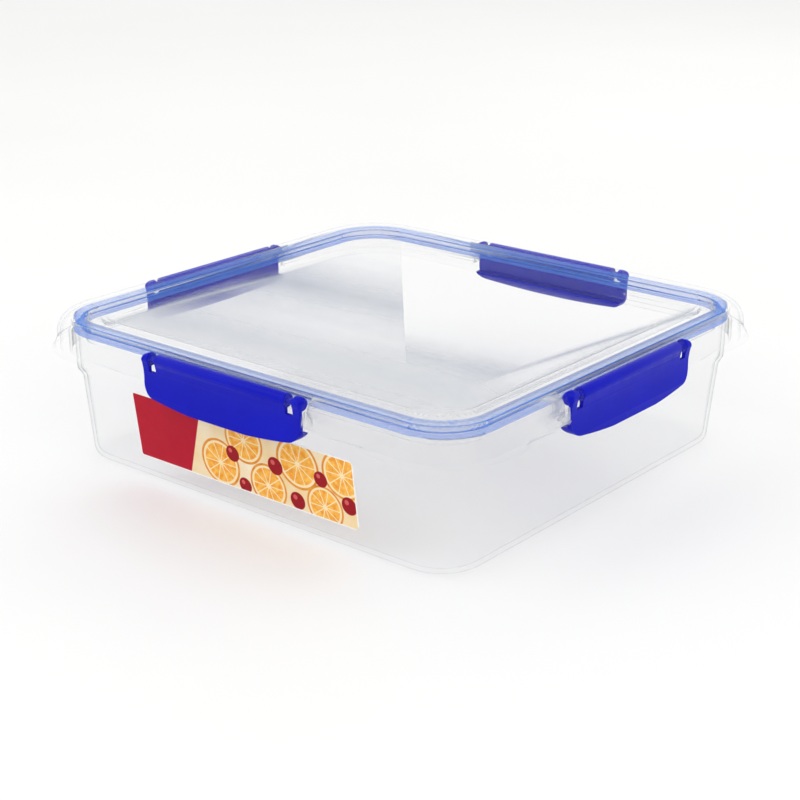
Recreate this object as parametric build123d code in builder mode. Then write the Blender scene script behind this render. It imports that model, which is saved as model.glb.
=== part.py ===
from build123d import *
from math import atan2, cos, radians, sin, tan
import os

os.makedirs("parts", exist_ok=True)

# Square food storage keeper: a clear tub, a clear lid with a soft seal, and four blue clips.
# All lengths are in millimetres. The tub stands on z = 0 and the front, with the label, faces -Y.

# Tub
collar_length = 256.0  # left to right over the straight band below the rim
collar_width = 245.4  # front to back over the same band
collar_radius = 28.0
collar_bottom = 47.5  # where the band starts and the sloping wall ends
collar_height = 19.5  # from there up to the rim
wall_lean_in = 6.5  # how far the wall stands in at the floor
collar_lean_in = 0.3  # how far the band still leans in at its bottom
foot_radius = 22.0  # corner radius at the floor
shoulder_radius = 32.5  # corner radius just under the corner steps
shoulder_drop = 3.0  # height of the sloped underside of a corner step
tub_wall = 1.7
tub_floor = 2.0
floor_round_outside = 4.5
floor_round_inside = 4.0
flange_reach = 2.9  # the rim turns outwards by this much and then down
flange_depth = 10.8  # from the rim down to the edge that the clips catch
flange_wall = 1.3
rim_plate = 1.5
rim_round = 0.6

# Lid
lid_rise = 8.2  # from the tub's rim up to the top of the ridge
lid_wall = 1.7
skirt_reach = 9.5  # from the tub's band out to the face of the skirt
skirt_radius = 38.5
skirt_drop = 7.4  # from the tub's rim down to the bottom of the skirt
skirt_draft = 4.0
dome_radius = 9.0
bead_height = 1.5
bead_proud = 0.5
lip_proud = 2.5  # finger lip round each corner
lip_drop = 1.6  # how far it hangs below the skirt
lip_height = 2.4
lip_slope = 40.0
panel_inset = 12.5  # from the tub's band in to the edge of the sunk centre
panel_radius = 21.0
panel_drop = 2.4
panel_slope = 28.0
panel_round = 0.9
ridge_wall = 1.2
plug_depth = 5.0  # of the rib that drops inside the tub, below the rim
plug_wall = 1.4
fence_wall = 1.2  # the low rib outside the seal
fence_height = 3.2

# Seal
seal_squeeze_gap = 0.15  # left between the seal and the tub's rim
seal_outset = 0.3  # the seal's foot shows this far outside the tub's band
seal_depth = 5.2
seal_foot_height = 1.1
seal_head_height = 1.3
seal_head_inset = 0.5
seal_web_inset = 1.9
seal_side_gap = 0.15

# Clips
pin_reach = 7.0  # from the tub's band out to the hinge line
pin_rise = 3.2  # from the tub's rim up to the hinge line
pin_radius = 1.5
pin_clearance = 0.06
roll_radius = 3.2
hook_ring_wall = 1.6
slot_spacing = 87.4
slot_to_end = 6.3  # from the middle of a slot to the end of its clip
slot_width = 4.8
slot_depth = 5.8  # from the hinge line down to the bottom of the slot
slot_side_gap = 0.35
ring_mouth = 2.3  # the gap the pin snaps in through
hollow_depth = 1.3
clip_wall = 1.9
clip_drop = 21.0  # from the hinge line down to the middle of the finger edge
clip_bow = 3.4  # how much higher the finger edge is at its ends
finger_flare = 0.9
finger_edge = 1.5
catch_gap = 0.15  # between the catch and the rim with the clip at rest
catch_drop = 0.45  # from the bottom of the rim to the top of the catch
catch_height = 2.4
ear_round = 3.5
toe_round = 7.5
pocket_gap = 1.0  # between a clip's end and the lid
pocket_wall = 1.5
pocket_round = 2.2
pocket_back = 3.3  # from the tub's band out to the pocket's back wall
flange_gap = 0.6  # between the rim and the parts of the lid above it

# Label
label_length = 142.0
label_bottom = 12.0
label_height = 34.6
label_shift = 1.0
label_corner = 3.0
label_sheet = 0.25

rim_top = collar_bottom + collar_height
flange_bottom = rim_top - flange_depth
lid_top = rim_top + lid_rise
skirt_bottom = rim_top - skirt_drop
lip_bottom = skirt_bottom - lip_drop
plug_bottom = rim_top - plug_depth
pin_height = rim_top + pin_rise
clip_length = slot_spacing + 2 * slot_to_end
clip_bottom_middle = pin_height - clip_drop
clip_bottom_end = clip_bottom_middle + clip_bow
ridge_under = lid_top - lid_wall
panel_top = lid_top - panel_drop
seal_bottom = rim_top + seal_squeeze_gap
lean = (wall_lean_in - collar_lean_in) / collar_bottom
half_reach = {"front": collar_width / 2, "right": collar_length / 2,
              "back": collar_width / 2, "left": collar_length / 2}
outward = {"front": Vector(0, -1, 0), "right": Vector(1, 0, 0),
           "back": Vector(0, 1, 0), "left": Vector(-1, 0, 0)}


def band(grow, radius, mode=Mode.ADD):
    """The tub's band in plan, grown outwards by an offset."""
    RectangleRounded(collar_length + 2 * grow, collar_width + 2 * grow, radius, mode=mode)


def section(side):
    """A plane across one side: x runs out from the tub's band, y runs up."""
    out = outward[side]
    return Plane(origin=out * half_reach[side], x_dir=out, z_dir=out.cross(Vector(0, 0, 1)))


def elevation(side):
    """A plane that faces one side: x runs along it, y runs up."""
    out = outward[side]
    return Plane(origin=out * half_reach[side], x_dir=Vector(0, 0, 1).cross(out), z_dir=out)


def box_in_section(low, high):
    """A rectangle between two corners of the present sketch."""
    middle = ((low[0] + high[0]) / 2, (low[1] + high[1]) / 2)
    with Locations(middle):
        Rectangle(high[0] - low[0], high[1] - low[1])


# The space inside the tub
shoulder_z = collar_bottom - shoulder_drop
wall_grow = -wall_lean_in + lean * shoulder_z
floor_grow = -wall_lean_in + lean * tub_floor
with BuildPart() as tub_hollow:
    with BuildSketch(Plane.XY.offset(tub_floor)):
        band(floor_grow - tub_wall, foot_radius - tub_wall)
    with BuildSketch(Plane.XY.offset(shoulder_z)):
        band(wall_grow - tub_wall, shoulder_radius - tub_wall)
    with BuildSketch(Plane.XY.offset(collar_bottom)):
        band(-collar_lean_in - tub_wall, collar_radius - collar_lean_in - tub_wall)
    with BuildSketch(Plane.XY.offset(rim_top)):
        band(-tub_wall, collar_radius - tub_wall)
    loft(ruled=True)
    fillet(tub_hollow.faces().sort_by(Axis.Z)[0].edges(), floor_round_inside)
    print("litres to the brim", round(tub_hollow.part.volume / 1e6, 3))

# Tub: sloping walls, a straight band with steps at the corners, and a turned-down rim
with BuildPart() as tub:
    with BuildSketch(Plane.XY):
        band(-wall_lean_in, foot_radius)
    with BuildSketch(Plane.XY.offset(shoulder_z)):
        band(wall_grow, shoulder_radius)
    with BuildSketch(Plane.XY.offset(collar_bottom)):
        band(-collar_lean_in, collar_radius - collar_lean_in)
    with BuildSketch(Plane.XY.offset(rim_top)):
        band(0, collar_radius)
    loft(ruled=True)
    fillet(tub.faces().sort_by(Axis.Z)[0].edges(), floor_round_outside)
    with BuildSketch(Plane.XY.offset(rim_top)):
        band(flange_reach, collar_radius + flange_reach)
    extrude(amount=-rim_plate)
    with BuildSketch(Plane.XY.offset(flange_bottom)):
        band(flange_reach, collar_radius + flange_reach)
        band(flange_reach - flange_wall, collar_radius + flange_reach - flange_wall, Mode.SUBTRACT)
    extrude(amount=rim_top - flange_bottom)
    fillet(tub.faces().sort_by(Axis.Z)[-1].outer_wire().edges(), rim_round)
    add(tub_hollow.part, mode=Mode.SUBTRACT)
tub.part.label = "tub"
export_step(tub.part, "parts/tub.step")

# The space under the lid's shell, which leaves the four clip pockets and the centre panel solid
pocket_half = clip_length / 2 + pocket_gap
hollow_grow = skirt_reach - lid_wall + (skirt_bottom - lip_bottom) * tan(radians(skirt_draft))
with BuildPart() as lid_hollow:
    with BuildSketch(Plane.XY.offset(lip_bottom)):
        band(hollow_grow, skirt_radius + hollow_grow - skirt_reach)
    extrude(amount=ridge_under - lip_bottom, taper=skirt_draft)
    fillet(lid_hollow.faces().sort_by(Axis.Z)[-1].edges(), dome_radius - lid_wall)
    with BuildSketch(Plane.XY.offset(panel_top - lid_wall)):
        band(ridge_wall - panel_inset, panel_radius + ridge_wall)
    extrude(amount=lid_top - panel_top + lid_wall, mode=Mode.SUBTRACT)
    for side in outward:
        with BuildSketch(section(side)):
            box_in_section((pocket_back - lid_wall, lip_bottom), (skirt_reach + lip_proud, lid_top))
        extrude(amount=pocket_half + pocket_wall, both=True, mode=Mode.SUBTRACT)

# Lid: a domed shell with a sunk centre, a skirt, corner lips, four clip pockets and C-shaped rings
lip_centres = [(x, y) for x in (-1, 1) for y in (-1, 1)]
ring_radius = pin_radius + pin_clearance + hook_ring_wall
with BuildPart() as lid:
    with BuildSketch(Plane.XY.offset(skirt_bottom)):
        band(skirt_reach, skirt_radius)
    extrude(amount=lid_top - skirt_bottom, taper=skirt_draft)
    fillet(lid.faces().sort_by(Axis.Z)[-1].edges(), dome_radius)
    with BuildSketch(Plane.XY.offset(skirt_bottom)):
        band(skirt_reach + bead_proud, skirt_radius + bead_proud)
    extrude(amount=bead_height)
    with BuildSketch(Plane.XY.offset(lip_bottom)):
        for x, y in lip_centres:
            with Locations((x * (half_reach["right"] + skirt_reach - skirt_radius),
                            y * (half_reach["front"] + skirt_reach - skirt_radius))):
                Circle(skirt_radius + lip_proud)
    extrude(amount=lip_height, taper=lip_slope)
    add(lid_hollow.part, mode=Mode.SUBTRACT)
    with BuildSketch(Plane.XY.offset(lid_top)):
        band(-panel_inset, panel_radius)
    extrude(amount=-panel_drop, taper=panel_slope, mode=Mode.SUBTRACT)
    ridge_face = lid.faces().filter_by(GeomType.PLANE).sort_by(Axis.Z)[-1]
    fillet(ridge_face.inner_wires()[0].edges(), panel_round)
    with BuildSketch(Plane.XY.offset(plug_bottom)):
        band(-seal_depth - seal_side_gap, collar_radius - seal_depth - seal_side_gap)
        band(-seal_depth - seal_side_gap - plug_wall, collar_radius - seal_depth - plug_wall, Mode.SUBTRACT)
    extrude(amount=ridge_under - plug_bottom)
    with BuildSketch(Plane.XY.offset(ridge_under - fence_height)):
        band(seal_side_gap + fence_wall, collar_radius + seal_side_gap + fence_wall)
        band(seal_side_gap, collar_radius + seal_side_gap, Mode.SUBTRACT)
    extrude(amount=fence_height)
    for side in outward:
        with BuildSketch(elevation(side).offset(pocket_back)):
            box_in_section((-pocket_half, lip_bottom), (pocket_half, lid_top))
            for end in (-1, 1):
                with Locations((end * (pocket_half + pocket_round / 2), skirt_bottom + pocket_round / 2)):
                    Rectangle(pocket_round, pocket_round)
                with Locations((end * (pocket_half + pocket_round), skirt_bottom + pocket_round)):
                    Circle(pocket_round, mode=Mode.SUBTRACT)
        extrude(amount=skirt_reach, mode=Mode.SUBTRACT)
        with BuildSketch(section(side)):
            box_in_section((0, lip_bottom), (pocket_back + 0.2, rim_top + flange_gap))
        extrude(amount=pocket_half + pocket_wall, both=True, mode=Mode.SUBTRACT)
        for along in (-slot_spacing / 2, slot_spacing / 2):
            with BuildSketch(section(side).offset(along)):
                with Locations((pin_reach, pin_height)):
                    Circle(ring_radius)
                box_in_section((pocket_back - 0.5, pin_height - 1.2), (pin_reach, pin_height + 1.2))
                with Locations((pin_reach, pin_height)):
                    Circle(pin_radius + pin_clearance, mode=Mode.SUBTRACT)
                with Locations((pin_reach, pin_height - ring_radius)):
                    Rectangle(ring_mouth, 2 * ring_radius, mode=Mode.SUBTRACT)
            extrude(amount=slot_width / 2 - slot_side_gap, both=True)
lid.part.label = "lid"
print("lid solids", len(lid.part.solids()), "volume", round(lid.part.volume))
export_step(lid.part, "parts/lid.step")

# Seal: a ring with a head in the channel under the ridge, a thin web and a foot on the tub's rim
with BuildPart() as seal:
    with BuildSketch(Plane.XY.offset(seal_bottom)):
        band(seal_outset, collar_radius + seal_outset)
        band(-seal_depth, collar_radius - seal_depth, Mode.SUBTRACT)
    extrude(amount=seal_foot_height)
    with BuildSketch(Plane.XY.offset(seal_bottom)):
        band(-seal_web_inset, collar_radius - seal_web_inset)
        band(seal_web_inset - seal_depth, collar_radius + seal_web_inset - seal_depth, Mode.SUBTRACT)
    extrude(amount=ridge_under - seal_bottom)
    with BuildSketch(Plane.XY.offset(ridge_under)):
        band(-seal_head_inset, collar_radius - seal_head_inset)
        band(-seal_depth, collar_radius - seal_depth, Mode.SUBTRACT)
    extrude(amount=-seal_head_height)
seal.part.label = "seal"
export_step(seal.part, "parts/seal.step")


def clip_for(side):
    """One clip, drawn in the section of its side and carved in its elevation."""
    face = pin_reach + roll_radius
    back = face - hollow_depth - clip_wall
    catch_top = flange_bottom - catch_drop
    catch_tip = flange_reach + catch_gap
    with BuildPart() as piece:
        with BuildSketch(section(side)):
            with BuildLine():
                ThreePointArc((face, pin_height),
                              (face - hollow_depth, (pin_height + clip_bottom_middle) / 2),
                              (face + finger_flare, clip_bottom_middle))
                Polyline((face + finger_flare, clip_bottom_middle),
                         (face + finger_flare - finger_edge, clip_bottom_middle - 0.4),
                         (back - 2.0, catch_top - catch_height - 1.2),
                         (catch_tip, catch_top - 1.1),
                         (catch_tip, catch_top),
                         (back - 0.3, catch_top + 0.3),
                         (back, catch_top + 1.5),
                         (back + 0.4, pin_height - roll_radius),
                         (pin_reach, pin_height),
                         (face, pin_height))
            make_face()
            with Locations((pin_reach, pin_height)):
                Circle(roll_radius)
        extrude(amount=clip_length / 2, both=True)
        with BuildSketch(elevation(side)) as outline:
            half = clip_length / 2
            top = pin_height + roll_radius
            with BuildLine():
                ThreePointArc((-half, clip_bottom_end), (0, clip_bottom_middle - 0.5),
                              (half, clip_bottom_end))
                Polyline((half, clip_bottom_end), (half, top), (-half, top), (-half, clip_bottom_end))
            make_face()
            fillet(outline.vertices().group_by(Axis.Y)[0], toe_round)
            fillet(outline.vertices().group_by(Axis.Y)[-1], ear_round)
        extrude(amount=2 * face, mode=Mode.INTERSECT)
        for along in (-slot_spacing / 2, slot_spacing / 2):
            with BuildSketch(elevation(side)):
                box_in_section((along - slot_width / 2, pin_height - slot_depth),
                               (along + slot_width / 2, pin_height + 2 * roll_radius))
            extrude(amount=2 * face, mode=Mode.SUBTRACT)
        with BuildSketch(section(side)):
            with Locations((pin_reach, pin_height)):
                Circle(pin_radius)
        extrude(amount=slot_spacing / 2 + slot_width, both=True)
    return piece.part


with BuildPart() as front_clip:
    add(clip_for("front"))
front_clip.part.label = "front_clip"
export_step(front_clip.part, "parts/front_clip.step")

with BuildPart() as right_clip:
    add(clip_for("right"))
right_clip.part.label = "right_clip"
export_step(right_clip.part, "parts/right_clip.step")

with BuildPart() as back_clip:
    add(clip_for("back"))
back_clip.part.label = "back_clip"
export_step(back_clip.part, "parts/back_clip.step")

with BuildPart() as left_clip:
    add(clip_for("left"))
left_clip.part.label = "left_clip"
export_step(left_clip.part, "parts/left_clip.step")

# Label: a thin sheet on the sloping front wall
wall_angle = atan2(wall_lean_in - collar_lean_in, collar_bottom)
label_middle = label_bottom + label_height / 2
label_reach = half_reach["front"] - wall_lean_in + lean * label_middle
label_plane = Plane(origin=(label_shift, -label_reach, label_middle), x_dir=(1, 0, 0),
                    z_dir=(0, -cos(wall_angle), -sin(wall_angle)))
with BuildPart() as front_label:
    with BuildSketch(label_plane):
        RectangleRounded(label_length, label_height / cos(wall_angle), label_corner)
    extrude(amount=label_sheet)
front_label.part.label = "front_label"
export_step(front_label.part, "parts/front_label.step")
for part in (tub, lid, seal, front_clip, right_clip, back_clip, left_clip, front_label):
    print(part.part.label, len(part.part.solids()), part.part.is_valid)
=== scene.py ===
# %% [markdown]
# A clear food keeper on a white table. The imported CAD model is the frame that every
# piece hangs on: the tub, the lid, the seal, four clips and the label arrive as meshes
# in metres, each with its place in its own mesh. Here they get their finishes, the
# table, the lights and the camera.

# %% Load the frame
import math

import bmesh
import bpy
from mathutils import Matrix, Vector


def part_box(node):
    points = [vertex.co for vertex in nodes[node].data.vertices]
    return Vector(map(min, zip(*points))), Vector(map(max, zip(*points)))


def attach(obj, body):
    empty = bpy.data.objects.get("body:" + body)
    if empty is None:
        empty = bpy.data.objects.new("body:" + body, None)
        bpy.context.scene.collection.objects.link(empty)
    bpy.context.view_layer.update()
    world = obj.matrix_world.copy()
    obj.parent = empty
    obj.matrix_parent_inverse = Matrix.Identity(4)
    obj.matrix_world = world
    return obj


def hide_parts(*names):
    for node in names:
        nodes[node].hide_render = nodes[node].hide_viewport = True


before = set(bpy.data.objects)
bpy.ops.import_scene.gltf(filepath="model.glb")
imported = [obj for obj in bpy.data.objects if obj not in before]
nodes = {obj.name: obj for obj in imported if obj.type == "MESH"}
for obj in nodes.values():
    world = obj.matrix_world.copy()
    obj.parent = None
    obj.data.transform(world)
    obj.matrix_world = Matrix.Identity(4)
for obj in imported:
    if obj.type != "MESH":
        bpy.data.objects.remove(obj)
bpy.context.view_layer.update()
print("nodes:", sorted(nodes))

# %% [markdown]
# A finish is a small net of shader nodes, so it needs the same few steps each time: make
# the material, add a node, join two sockets. Three short helpers keep the later cells
# about plastic and print, not about wiring.

# %% Helpers for shader nodes


def new_finish(name):
    finish = bpy.data.materials.new(name)
    finish.use_nodes = True
    tree = finish.node_tree
    shader = tree.nodes["Principled BSDF"]
    return finish, tree, shader


def add_node(tree, kind, **settings):
    node = tree.nodes.new(kind)
    for key, value in settings.items():
        setattr(node, key, value)
    return node


def object_point(tree):
    """The point on the piece, in metres, in the same frame as the CAD."""
    return add_node(tree, "ShaderNodeTexCoord").outputs["Object"]


def noise(tree, scale, detail=2.0, roughness=0.5):
    texture = add_node(tree, "ShaderNodeTexNoise")
    tree.links.new(object_point(tree), texture.inputs["Vector"])
    texture.inputs["Scale"].default_value = scale
    texture.inputs["Detail"].default_value = detail
    texture.inputs["Roughness"].default_value = roughness
    return texture.outputs["Fac"]


def ramp(tree, factor, low, high, start=0.3, end=0.7):
    band = add_node(tree, "ShaderNodeValToRGB")
    band.color_ramp.elements[0].position = start
    band.color_ramp.elements[1].position = end
    band.color_ramp.elements[0].color = low
    band.color_ramp.elements[1].color = high
    tree.links.new(factor, band.inputs["Fac"])
    return band.outputs["Color"]


def bump(tree, shader, height, strength, distance):
    node = add_node(tree, "ShaderNodeBump")
    node.inputs["Strength"].default_value = strength
    node.inputs["Distance"].default_value = distance
    tree.links.new(height, node.inputs["Height"])
    tree.links.new(node.outputs["Normal"], shader.inputs["Normal"])


def grey(value):
    return (value, value, value, 1.0)


def wear(piece, finish):
    piece.data.materials.clear()
    piece.data.materials.append(finish)


# %% [markdown]
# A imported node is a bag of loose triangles, so its curves show flat facets. A copy whose
# points are merged can be shaded smooth, with its real edges kept sharp by their angle.
# Mouldings have no knife edges either: a Bevel modifier rounds what is still sharp. Only
# the opaque clips get it, because on the clear walls a bevel would draw a line of its own.

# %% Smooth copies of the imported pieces


def moulded_copy(node, body, finish, sharp_degrees, edge_round=0.0):
    source = nodes[node]
    mesh = source.data.copy()
    work = bmesh.new()
    work.from_mesh(mesh)
    before = len(work.verts)
    bmesh.ops.remove_doubles(work, verts=work.verts, dist=1e-6)
    work.to_mesh(mesh)
    after = len(work.verts)
    work.free()
    mesh.polygons.foreach_set("use_smooth", [True] * len(mesh.polygons))
    mesh.set_sharp_from_angle(angle=math.radians(sharp_degrees))
    piece = bpy.data.objects.new(node + "_moulding", mesh)
    bpy.context.scene.collection.objects.link(piece)
    wear(piece, finish)
    if edge_round:
        rounding = piece.modifiers.new("edge round", "BEVEL")
        rounding.width = edge_round
        rounding.segments = 3
        rounding.limit_method = "ANGLE"
        rounding.angle_limit = math.radians(sharp_degrees)
        rounding.harden_normals = True
        rounding.use_clamp_overlap = True
    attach(piece, body)
    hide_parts(node)
    print(node, "merged from", before, "to", after, "points")
    return piece


# %% [markdown]
# The tub and the lid are moulded from clear polypropylene. It isn't as clear as glass: its
# walls hardly bend what is behind them, but they scatter a little light, so they look
# milky. Most of a wall is see-through where it is seen face on. Where it is seen edge on,
# the eye looks through far more plastic, so Layer Weight raises the alpha there. Under that
# alpha the base colour is painted darker than the plastic is, the tub's much darker than the
# lid's. So the edge-on walls draw grey lines along every fold and rim, dark on the tub and a
# paler blue-grey on the lid. These lines are painted shade that stands in for the dark
# surroundings reflected at those edges.

# %% Clear plastic


def clear_plastic(name, shaded_tint_low, shaded_tint_high, face_on, edge_on):
    finish, tree, shader = new_finish(name)
    flow = noise(tree, 14.0, detail=3.0)
    # The base colour is painted darker than the clear plastic. Where the alpha rises edge on, it
    # draws dark lines: painted shade for reflected dark surroundings.
    tree.links.new(ramp(tree, flow, shaded_tint_low, shaded_tint_high), shader.inputs["Base Color"])
    tree.links.new(ramp(tree, flow, grey(0.16), grey(0.24)), shader.inputs["Roughness"])
    facing = add_node(tree, "ShaderNodeLayerWeight").outputs["Facing"]
    # Alpha by facing: a little milky face on, and edge on it shows the dark base colour as
    # painted shade lines.
    milk_and_edge_shade = add_node(tree, "ShaderNodeValToRGB")
    milk_and_edge_shade.color_ramp.elements[0].position = 0.0
    milk_and_edge_shade.color_ramp.elements[0].color = grey(face_on)
    milk_and_edge_shade.color_ramp.elements[1].position = 1.0
    milk_and_edge_shade.color_ramp.elements[1].color = grey(edge_on)
    for facing_share, alpha in ((0.70, face_on * 1.5), (0.88, face_on + edge_on * 0.2)):
        stop = milk_and_edge_shade.color_ramp.elements.new(facing_share)
        stop.color = grey(alpha)
    tree.links.new(facing, milk_and_edge_shade.inputs["Fac"])
    tree.links.new(milk_and_edge_shade.outputs["Color"], shader.inputs["Alpha"])
    gloss = add_node(tree, "ShaderNodeBsdfGlossy")
    tree.links.new(ramp(tree, flow, grey(0.05), grey(0.11)), gloss.inputs["Roughness"])
    shine = add_node(tree, "ShaderNodeMath", operation="POWER")
    tree.links.new(facing, shine.inputs[0])
    shine.inputs[1].default_value = 6.0
    share = add_node(tree, "ShaderNodeMath", operation="MULTIPLY_ADD")
    tree.links.new(shine.outputs[0], share.inputs[0])
    share.inputs[1].default_value = 0.14
    share.inputs[2].default_value = 0.004
    mix = add_node(tree, "ShaderNodeMixShader")
    tree.links.new(share.outputs[0], mix.inputs[0])
    tree.links.new(shader.outputs[0], mix.inputs[1])
    tree.links.new(gloss.outputs[0], mix.inputs[2])
    tree.links.new(mix.outputs[0], tree.nodes["Material Output"].inputs["Surface"])
    return finish


# The tub's base colour is painted dark grey and the lid's a paler blue-grey. Both are painted
# shade for the edge lines.
tub_plastic = clear_plastic(
    "clear tub plastic", (0.17, 0.19, 0.23, 1.0), (0.22, 0.24, 0.28, 1.0), 0.011, 0.92
)
lid_plastic = clear_plastic(
    "clear lid plastic", (0.56, 0.59, 0.65, 1.0), (0.62, 0.65, 0.70, 1.0), 0.010, 0.90
)
moulded_copy("tub", "tub", tub_plastic, 28.0)
moulded_copy("lid", "lid", lid_plastic, 28.0)

# %% [markdown]
# The clips are solid royal blue. Moulded plastic has a soft gloss with a faint texture
# from the tool, so the colour drifts a little and a very fine bump breaks the highlight.

# %% Blue clips


def blue_plastic(name, dark, light):
    finish, tree, shader = new_finish(name)
    drift = noise(tree, 40.0, detail=4.0)
    tree.links.new(ramp(tree, drift, dark, light), shader.inputs["Base Color"])
    satin = ramp(tree, noise(tree, 220.0), grey(0.30), grey(0.40))
    tree.links.new(satin, shader.inputs["Roughness"])
    shader.inputs["Specular IOR Level"].default_value = 0.09
    bump(tree, shader, noise(tree, 1600.0), 0.05, 0.00005)
    return finish


clip_blue = blue_plastic(
    "clip blue plastic", (0.0030, 0.0050, 0.400, 1.0), (0.0040, 0.0070, 0.460, 1.0)
)
for name in ("front_clip", "right_clip", "back_clip", "left_clip"):
    moulded_copy(name, name, clip_blue, 30.0, edge_round=0.0004)

# %% [markdown]
# The seal is a soft silicone ring in the lid. It is a lighter blue than the clips and lets
# some light through, so it is pale where it is thin and deep blue where it is seen edge on.
# Its highlight is broad, because soft rubber scatters light more than hard plastic does.

# %% Soft seal
seal_rubber, tree, shader = new_finish("seal silicone")
drift = noise(tree, 60.0)
seal_tint = ramp(tree, drift, (0.060, 0.230, 0.780, 1.0), (0.085, 0.280, 0.840, 1.0))
tree.links.new(seal_tint, shader.inputs["Base Color"])
tree.links.new(ramp(tree, drift, grey(0.42), grey(0.55)), shader.inputs["Roughness"])
seal_facing = add_node(tree, "ShaderNodeLayerWeight").outputs["Facing"]
depth = ramp(tree, seal_facing, grey(0.20), grey(0.90), 0.45, 1.0)
tree.links.new(depth, shader.inputs["Alpha"])
shader.inputs["Specular IOR Level"].default_value = 0.2
bump(tree, shader, noise(tree, 1200.0), 0.1, 0.0001)
moulded_copy("seal", "lid", seal_rubber, 30.0)

# %% [markdown]
# The label is a printed film on the front wall. Its picture is made from flat shapes that
# are laid one over another, as a printer lays inks. Each shape is a mask, 1 inside and 0
# outside, from a distance on the label's own plane: x runs along the wall and z up it.

# %% Label print
label_low, label_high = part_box("front_label")
label_middle = (label_low + label_high) / 2
label_size = label_high - label_low
print("label is", [round(v * 1000, 1) for v in label_size], "mm")
label_print, tree, shader = new_finish("label print")
split = add_node(tree, "ShaderNodeSeparateXYZ")
tree.links.new(object_point(tree), split.inputs[0])


def calc(operation, first, second=None, clamp=False):
    node = add_node(tree, "ShaderNodeMath", operation=operation, use_clamp=clamp)
    for socket, value in zip(node.inputs, (first, second)):
        if isinstance(value, (int, float)):
            socket.default_value = value
        elif value is not None:
            tree.links.new(value, socket)
    return node.outputs[0]


across = calc("SUBTRACT", split.outputs["X"], label_middle.x)
up = calc("SUBTRACT", split.outputs["Z"], label_middle.z)
edge_soft = 0.00025

# %% [markdown]
# Each mask comes from a distance that is negative inside the shape. Dividing it by a
# quarter of a millimetre and clamping gives a printed edge that is soft but still thin.

# %% Masks and inks


def inside(distance):
    return calc("SUBTRACT", 0.5, calc("DIVIDE", distance, edge_soft), clamp=True)


def reach_from(x, z):
    dx = calc("SUBTRACT", across, x)
    dz = calc("SUBTRACT", up, z)
    return dx, dz, calc("SQRT", calc("ADD", calc("MULTIPLY", dx, dx), calc("MULTIPLY", dz, dz)))


def lay(under, ink, mask):
    mix = add_node(tree, "ShaderNodeMix", data_type="RGBA")
    tree.links.new(mask, mix.inputs["Factor"])
    colour_sockets = [socket for socket in mix.inputs if socket.type == "RGBA"]
    for socket, value in zip(colour_sockets, (under, ink)):
        if isinstance(value, tuple):
            socket.default_value = value
        else:
            tree.links.new(value, socket)
    return [socket for socket in mix.outputs if socket.type == "RGBA"][0]


def disc(under, ink, x, z, radius):
    return lay(under, ink, inside(calc("SUBTRACT", reach_from(x, z)[2], radius)))


# %% [markdown]
# The picture shows dried orange slices and dark cherries on a warm cream cloth. A slice is
# a rind, a pale ring, the flesh and ten pale spokes. The spokes come from the sine of the
# angle round the slice's middle, so they are thin near the middle and even further out.

# %% The printed fruit
pulp_grain = noise(tree, 420.0, detail=6.0)
pulp = ramp(tree, pulp_grain, (0.80, 0.30, 0.03, 1.0), (0.93, 0.52, 0.10, 1.0), 0.35, 0.65)
rind_grain = noise(tree, 300.0, detail=4.0)
rind = ramp(tree, rind_grain, (0.62, 0.20, 0.02, 1.0), (0.80, 0.34, 0.05, 1.0))
pith = (0.90, 0.72, 0.42, 1.0)
spoke_count = 10
spoke_width = 0.0013
cherry = (0.30, 0.005, 0.012, 1.0)
cherry_shine = (0.62, 0.10, 0.10, 1.0)
crimson = (0.40, 0.0015, 0.018, 1.0)
paper = (0.85, 0.85, 0.83, 1.0)
cloth = noise(tree, 38.0, detail=5.0)
picture = ramp(tree, cloth, (0.82, 0.60, 0.30, 1.0), (0.88, 0.78, 0.58, 1.0), 0.35, 0.65)


def orange_slice(under, x, z, radius):
    dx, dz, reach = reach_from(x, z)
    under = lay(under, rind, inside(calc("SUBTRACT", reach, radius)))
    under = lay(under, pith, inside(calc("SUBTRACT", reach, radius * 0.90)))
    under = lay(under, pulp, inside(calc("SUBTRACT", reach, radius * 0.80)))
    turn_round = calc("MULTIPLY", calc("ARCTAN2", dz, dx), spoke_count / 2)
    spoke = calc("MULTIPLY", calc("ABSOLUTE", calc("SINE", turn_round)), reach)
    on_slice = calc("SUBTRACT", reach, radius * 0.82)
    on_spoke = calc("SUBTRACT", spoke, spoke_width)
    return lay(under, pith, inside(calc("MAXIMUM", on_spoke, on_slice)))


slices = (
    (0.0035, 0.0100, 0.0120), (-0.0140, -0.0060, 0.0125), (0.0370, 0.0070, 0.0130),
    (0.0165, -0.0100, 0.0115), (0.0640, 0.0085, 0.0120), (0.0515, -0.0110, 0.0110),
)
cherries = (
    (-0.0050, 0.0010, 0.0042), (0.0225, 0.0020, 0.0046), (0.0345, -0.0125, 0.0045),
    (0.0505, 0.0030, 0.0040), (0.0665, -0.0060, 0.0045), (0.0010, -0.0140, 0.0040),
)
for x, z, radius in slices:
    picture = orange_slice(picture, x, z, radius)
for x, z, radius in cherries:
    picture = disc(picture, cherry, x, z, radius)
    picture = disc(picture, cherry_shine, x - radius * 0.3, z + radius * 0.35, radius * 0.28)
print("label picture uses", len(tree.nodes), "nodes")

# %% [markdown]
# A slanted crimson panel covers the left quarter of the label. Last comes a thin white
# edge of unprinted film, which shows where the sheet was cut.

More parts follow.
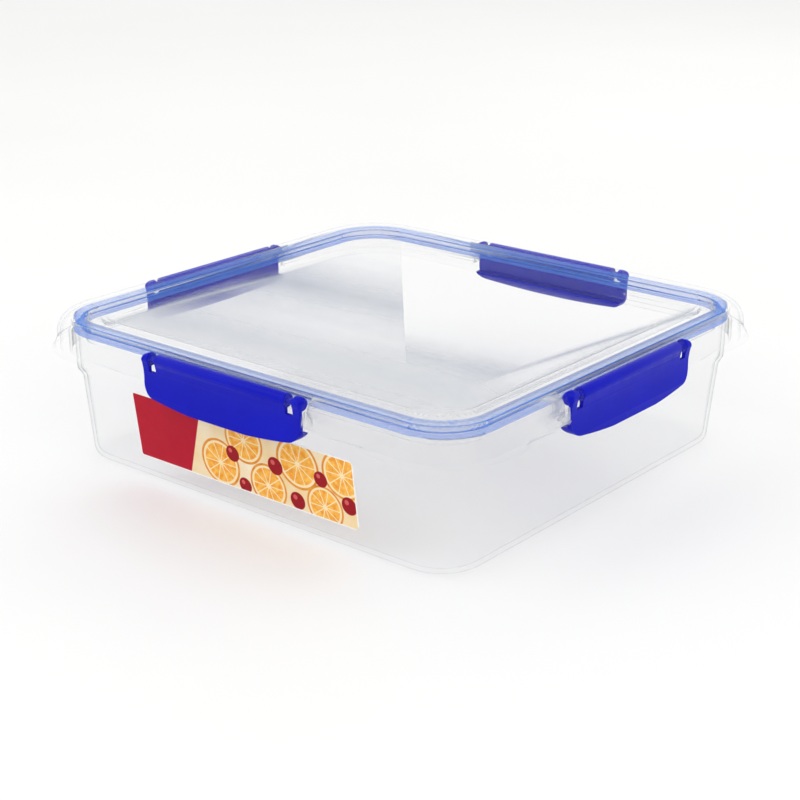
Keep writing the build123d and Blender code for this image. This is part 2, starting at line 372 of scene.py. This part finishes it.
# %% Panel and edge of the label
panel_slope = -0.34
panel_edge = 0.0300
film_edge = 0.0006
slant = calc("ADD", across, calc("MULTIPLY", up, panel_slope))
panel_red = ramp(tree, noise(tree, 90.0), crimson, (0.44, 0.003, 0.022, 1.0))
picture = lay(picture, panel_red, inside(calc("ADD", slant, panel_edge)))
side_border = calc("SUBTRACT", calc("ABSOLUTE", across), label_size.x / 2 - film_edge)
long_border = calc("SUBTRACT", calc("ABSOLUTE", up), label_size.z / 2 - film_edge)
border = calc("MAXIMUM", side_border, long_border)
picture = lay(paper, picture, inside(border))
tree.links.new(picture, shader.inputs["Base Color"])
tree.links.new(ramp(tree, noise(tree, 400.0), grey(0.3), grey(0.42)), shader.inputs["Roughness"])
shader.inputs["Specular IOR Level"].default_value = 0.10
wear(nodes["front_label"], label_print)
print("label print made of", len(tree.nodes), "nodes")

# %% [markdown]
# The keeper stands on a large white table that runs out of view. The table lies half a
# millimetre below the tub, so that the two surfaces don't flicker through each other.

# %% Table
table_mesh = bmesh.new()
bmesh.ops.create_grid(table_mesh, x_segments=1, y_segments=1, size=6.0)
table_data = bpy.data.meshes.new("table")
table_mesh.to_mesh(table_data)
table_mesh.free()
table_data.transform(Matrix.Translation((0, 0, -0.0005)))
table = bpy.data.objects.new("table", table_data)
bpy.context.scene.collection.objects.link(table)
table_white, tree, shader = new_finish("table white")
tree.links.new(ramp(tree, noise(tree, 3.0), grey(0.86), grey(0.88)), shader.inputs["Base Color"])
shader.inputs["Roughness"].default_value = 0.6
table.data.materials.append(table_white)

# %% [markdown]
# The sky is white near the horizon, so that the clear walls have something bright behind
# them, and a little darker overhead. Rays pass through many thin walls here, at the lid,
# the seal and both sides of the tub, so more see-through surfaces are allowed than usual.

# %% Sky
world = bpy.data.worlds.new("studio")
bpy.context.scene.world = world
world.use_nodes = True
sky = world.node_tree
height = sky.nodes.new("ShaderNodeSeparateXYZ")
sky.links.new(sky.nodes.new("ShaderNodeTexCoord").outputs["Generated"], height.inputs[0])
gradient = sky.nodes.new("ShaderNodeValToRGB")
gradient.color_ramp.elements[0].position = 0.15
gradient.color_ramp.elements[0].color = (1.0, 1.0, 1.0, 1.0)
gradient.color_ramp.elements[1].position = 0.60
gradient.color_ramp.elements[1].color = (0.80, 0.80, 0.79, 1.0)
sky.links.new(height.outputs["Z"], gradient.inputs["Fac"])
sky.links.new(gradient.outputs["Color"], sky.nodes["Background"].inputs["Color"])
sky.nodes["Background"].inputs["Strength"].default_value = 1.2
bpy.context.scene.cycles.transparent_max_bounces = 48

# %% [markdown]
# Three large rectangles of light give soft shadows. The back one only lifts the far walls,
# so it is kept out of reflections and draws no patch of its own in the flat lid.

# %% Soft lights


def soft_light(name, place, size, power, mirrored=True, target=(0, 0, 0.04)):
    lamp = bpy.data.lights.new(name, "AREA")
    lamp.shape = "RECTANGLE"
    lamp.size, lamp.size_y = size
    lamp.energy = power
    holder = bpy.data.objects.new(name, lamp)
    bpy.context.scene.collection.objects.link(holder)
    holder.location = place
    holder.visible_glossy = mirrored
    holder.rotation_euler = (Vector(target) - Vector(place)).to_track_quat("-Z", "Y").to_euler()


soft_light("key", (-0.6, -0.9, 1.1), (0.9, 0.9), 3.4)
soft_light("fill", (1.2, -0.5, 0.7), (0.8, 0.8), 1.6)
soft_light("back", (0.1, 1.3, 0.9), (1.4, 0.6), 2.1, mirrored=False)

# %% [markdown]
# The camera stands about 40 degrees round to the right of the label and 20 degrees above
# the table, close enough that the near corner looks large.

# %% Camera
turn = math.radians(39.66)
rise = math.radians(20.33)
distance = 0.8839
focal_pixels = 1705.5
aim = Vector((-0.0024, 0.0, 0.0230))
camera_data = bpy.data.cameras.new("camera")
camera_data.sensor_width = 36.0
camera_data.lens = focal_pixels / 800.0 * camera_data.sensor_width
camera = bpy.data.objects.new("camera", camera_data)
bpy.context.scene.collection.objects.link(camera)
towards_camera = Vector(
    (math.sin(turn) * math.cos(rise), -math.cos(turn) * math.cos(rise), math.sin(rise))
)
camera.location = aim + distance * towards_camera
camera.rotation_euler = (aim - camera.location).to_track_quat("-Z", "Y").to_euler()
bpy.context.scene.camera = camera
bpy.context.scene.view_settings.view_transform = "Standard"
print("camera", [round(v, 4) for v in camera.location])
